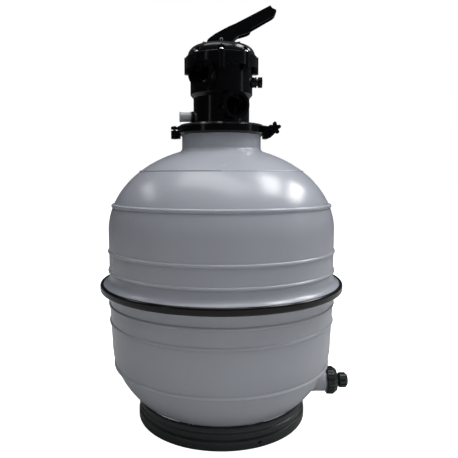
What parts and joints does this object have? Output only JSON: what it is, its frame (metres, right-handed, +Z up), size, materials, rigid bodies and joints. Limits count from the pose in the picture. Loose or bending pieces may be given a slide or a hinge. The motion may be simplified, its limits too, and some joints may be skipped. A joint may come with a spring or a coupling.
{
  "type": "sand filter tank",
  "caption": "Top-mount pool sand filter: ribbed split tank on a ring base, multiport valve with lever handle, neck clamp, folding laterals and a screw-capped drain.",
  "frame": {"origin": "on the tank's vertical axis, in the plane of the base ring's bottom face, where the tank stands on the floor", "axes": "+Z up along the tank's axis; +X towards the drain, the handle's tip and the clamp's knob; -Y towards the front, where the pump and return ports face"},
  "size_m": [0.6045, 0.579, 0.9706],
  "materials": {
    "shell_grey": "moulded, light satin gloss",
    "valve_black": "moulded black, glossy",
    "base_charcoal": "moulded charcoal, satin",
    "steel": "stainless, bright",
    "seal_rubber": "matt black rubber",
    "inner_white": "moulded white plastic",
    "clear": "clear moulded plastic"
  },
  "bodies": {
    "tank": {"base_stand": "base_charcoal", "lower_shell": "shell_grey", "upper_shell": "shell_grey", "middle_band": "valve_black", "neck_seal": "seal_rubber", "clamp_rear": "valve_black", "clamp_hinge_pin": "steel", "clamp_nut": "steel", "valve_body": "valve_black", "spider_gasket": "seal_rubber", "valve_lid": "valve_black", "lid_seal": "seal_rubber", "lid_screws": "steel", "lid_nuts": "steel", "sight_glass": "clear", "sight_glass_seal": "seal_rubber", "gauge_plug": "valve_black", "gauge_plug_seal": "seal_rubber", "drain_strainer": "inner_white", "standpipe": "inner_white", "standpipe_seal": "seal_rubber", "top_diffuser": "inner_white", "lateral_hub": "inner_white"},
    "clamp_half": {"clamp_front": "valve_black"},
    "knob_carrier": {"knob_washer": "steel"},
    "knob": {"clamp_knob": "valve_black", "knob_stud": "steel"},
    "selector": {"handle_washer": "inner_white", "spring_washer": "inner_white", "rotor_spring": "steel"},
    "diverter": {"rotor": "inner_white", "stem_seals": "seal_rubber", "handle_pin": "steel"},
    "lever": {"handle": "valve_black"},
    "sand_cap_carrier": {"sand_cap_seal": "seal_rubber"},
    "sand_cap": {"sand_drain_cap": "valve_black"},
    "plug_carrier": {"plug_seal": "seal_rubber"},
    "water_plug": {"water_drain_plug": "valve_black"},
    "arm_1": {"lateral_1": "inner_white"},
    "arm_2": {"lateral_2": "inner_white"},
    "arm_3": {"lateral_3": "inner_white"},
    "arm_4": {"lateral_4": "inner_white"},
    "arm_5": {"lateral_5": "inner_white"},
    "arm_6": {"lateral_6": "inner_white"},
    "arm_7": {"lateral_7": "inner_white"},
    "arm_8": {"lateral_8": "inner_white"}
  },
  "joints": [
    {"name": "selector_turn", "type": "hinge", "parent": "tank", "child": "selector", "pos_m": [0, 0, 0.893], "axis": [0, 0, 1], "continuous": true},
    {"name": "rotor_lift", "type": "slide", "parent": "selector", "child": "diverter", "axis": [0, 0, 1], "range_m": [0, 0.005], "deforming": ["rotor_spring"]},
    {"name": "handle_press", "type": "hinge", "parent": "diverter", "child": "lever", "pos_m": [0, 0, 0.893], "axis": [0, 1, 0], "range_deg": [0, 25], "stiffness_Nm_per_rad": 4, "springref_deg": -8.59},
    {"name": "clamp_swing", "type": "hinge", "parent": "tank", "child": "clamp_half", "pos_m": [-0.112, 0, 0.688], "axis": [0, 0, -1], "range_deg": [0, 100]},
    {"name": "knob_travel", "type": "slide", "parent": "clamp_half", "child": "knob_carrier", "axis": [0, -1, 0], "range_m": [0, 0.012]},
    {"name": "knob_turn", "type": "hinge", "parent": "knob_carrier", "child": "knob", "pos_m": [0.124, -0.02, 0.692], "axis": [0, -1, 0], "range_deg": [0, 2880]},
    {"name": "sand_cap_travel", "type": "slide", "parent": "tank", "child": "sand_cap_carrier", "axis": [1, 0, 0], "range_m": [0, 0.024]},
    {"name": "sand_cap_turn", "type": "hinge", "parent": "sand_cap_carrier", "child": "sand_cap", "pos_m": [0.27, 0, 0.0725], "axis": [1, 0, 0], "range_deg": [0, 2160]},
    {"name": "water_plug_travel", "type": "slide", "parent": "sand_cap", "child": "plug_carrier", "axis": [1, 0, 0], "range_m": [0, 0.024]},
    {"name": "water_plug_turn", "type": "hinge", "parent": "plug_carrier", "child": "water_plug", "pos_m": [0.3, 0, 0.0725], "axis": [1, 0, 0], "range_deg": [0, 4320]},
    {"name": "lateral_1_fold", "type": "hinge", "parent": "tank", "child": "arm_1", "pos_m": [0.04, 0, 0.087], "axis": [0, -1, 0], "range_deg": [0, 80]},
    {"name": "lateral_2_fold", "type": "hinge", "parent": "tank", "child": "arm_2", "pos_m": [0.02828, 0.02828, 0.087], "axis": [0.7071, -0.7071, 0], "range_deg": [0, 80]},
    {"name": "lateral_3_fold", "type": "hinge", "parent": "tank", "child": "arm_3", "pos_m": [0, 0.04, 0.087], "axis": [1, 0, 0], "range_deg": [0, 80]},
    {"name": "lateral_4_fold", "type": "hinge", "parent": "tank", "child": "arm_4", "pos_m": [-0.02828, 0.02828, 0.087], "axis": [0.7071, 0.7071, 0], "range_deg": [0, 80]},
    {"name": "lateral_5_fold", "type": "hinge", "parent": "tank", "child": "arm_5", "pos_m": [-0.04, 0, 0.087], "axis": [0, 1, 0], "range_deg": [0, 80]},
    {"name": "lateral_6_fold", "type": "hinge", "parent": "tank", "child": "arm_6", "pos_m": [-0.02828, -0.02828, 0.087], "axis": [-0.7071, 0.7071, 0], "range_deg": [0, 80]},
    {"name": "lateral_7_fold", "type": "hinge", "parent": "tank", "child": "arm_7", "pos_m": [0, -0.04, 0.087], "axis": [-1, 0, 0], "range_deg": [0, 80]},
    {"name": "lateral_8_fold", "type": "hinge", "parent": "tank", "child": "arm_8", "pos_m": [0.02828, -0.02828, 0.087], "axis": [-0.7071, -0.7071, 0], "range_deg": [0, 80]}
  ],
  "couplings": [
    {"joint": "rotor_lift", "follows": "handle_press", "m_per_rad": 0.0114},
    {"joint": "knob_travel", "follows": "knob_turn", "m_per_rad": 0.0002387},
    {"joint": "sand_cap_travel", "follows": "sand_cap_turn", "m_per_rad": 0.0006366},
    {"joint": "water_plug_travel", "follows": "water_plug_turn", "m_per_rad": 0.0003183}
  ]
}
